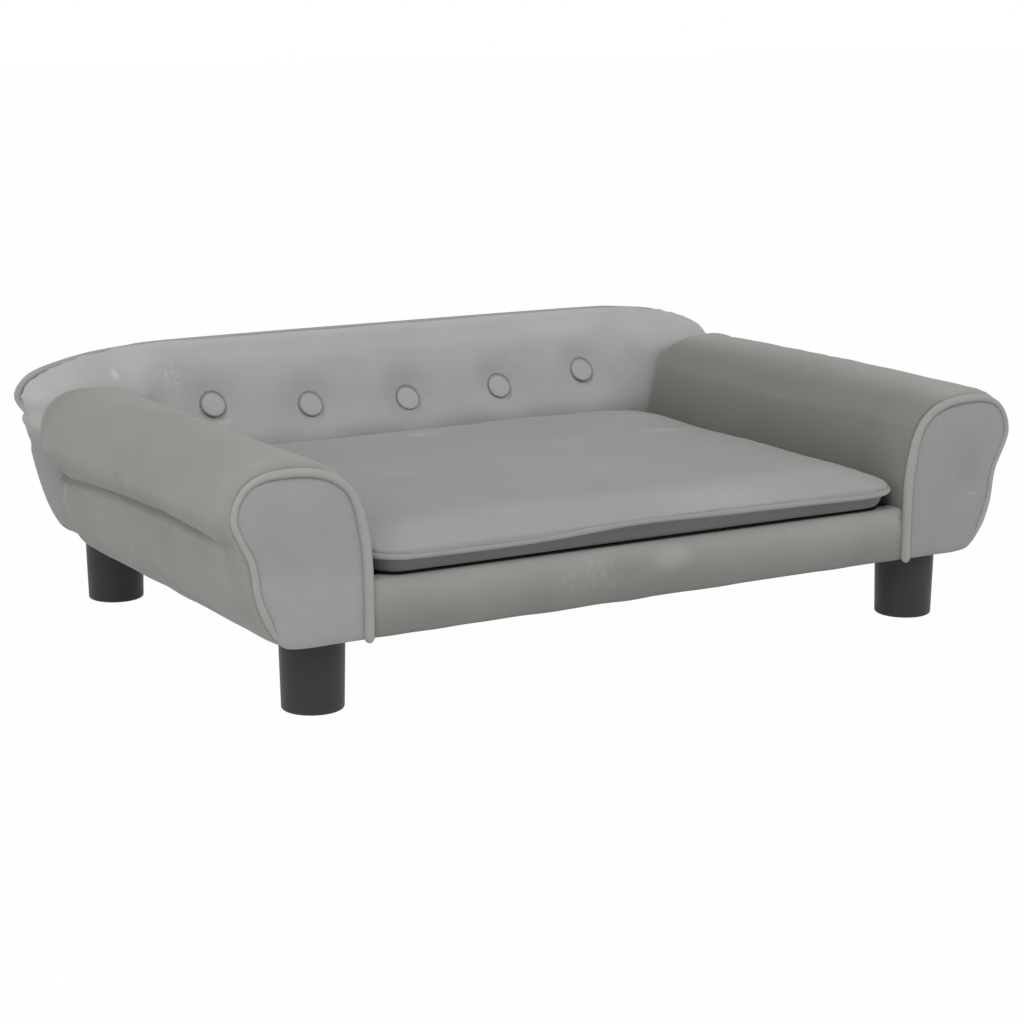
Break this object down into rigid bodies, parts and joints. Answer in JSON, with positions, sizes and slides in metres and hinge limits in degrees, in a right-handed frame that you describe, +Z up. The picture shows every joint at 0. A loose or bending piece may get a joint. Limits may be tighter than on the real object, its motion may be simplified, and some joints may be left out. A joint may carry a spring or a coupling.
{
  "type": "dog sofa bed",
  "caption": "Low pet sofa in grey velvet with scrolled arms, a buttoned curved back, a piped loose seat cushion and round dark feet.",
  "frame": {"origin": "on the floor at the centre of the footprint", "axes": "+Z up, front of the sofa faces -Y, +X to the right as seen from the front"},
  "size_m": [0.9, 0.574, 0.275],
  "materials": {
    "velvet": "short-pile velvet, light warm grey",
    "velvet_flat": "short-pile velvet, light warm grey, stretched flat",
    "leg_plastic": "matt charcoal",
    "pine": "sawn, unfinished",
    "plywood": "sanded, unfinished",
    "foam": "open-cell foam",
    "fastener_steel": "zinc plated",
    "zip_metal": "satin",
    "lining": "plain woven lining"
  },
  "bodies": {
    "frame": {"leg_front_left": "leg_plastic", "leg_front_right": "leg_plastic", "leg_rear_left": "leg_plastic", "leg_rear_right": "leg_plastic", "leg_bolts": "fastener_steel", "leg_tee_nuts": "fastener_steel", "base_front_rail": "pine", "base_rear_rail": "pine", "base_left_rail": "pine", "base_right_rail": "pine", "base_centre_brace": "pine", "seat_deck": "plywood", "deck_cloth": "lining", "front_rail_cover": "velvet_flat", "dust_cover": "lining", "left_arm_cover": "velvet", "left_arm_foam": "foam", "left_arm_front_former": "plywood", "left_arm_rear_former": "plywood", "left_arm_slats": "pine", "left_arm_inner_board": "plywood", "left_arm_bottom_board": "pine", "left_arm_front_panel": "velvet", "left_arm_piping": "velvet", "right_arm_cover": "velvet", "right_arm_foam": "foam", "right_arm_front_former": "plywood", "right_arm_rear_former": "plywood", "right_arm_slats": "pine", "right_arm_inner_board": "plywood", "right_arm_bottom_board": "pine", "right_arm_front_panel": "velvet", "right_arm_piping": "velvet", "arm_bolts": "fastener_steel", "arm_tee_nuts": "fastener_steel", "back_pad": "velvet", "back_board": "plywood", "back_rear_cover": "velvet_flat", "back_piping": "velvet", "back_bolts": "fastener_steel", "tuft_buttons": "velvet", "button_ties": "lining", "button_washers": "fastener_steel"},
    "cushion": {"cushion_cover": "velvet", "cushion_foam": "foam", "cushion_piping": "velvet", "cushion_base_cloth": "lining", "zip_tape": "lining"},
    "zip_slider": {"zip_slider": "zip_metal"}
  },
  "joints": [
    {"name": "cushion_lift", "type": "slide", "parent": "frame", "child": "cushion", "axis": [0, 0, 1], "range_m": [0, 0.2]},
    {"name": "zip_slide", "type": "slide", "parent": "cushion", "child": "zip_slider", "axis": [-1, 0, 0], "range_m": [0, 0.485]}
  ]
}
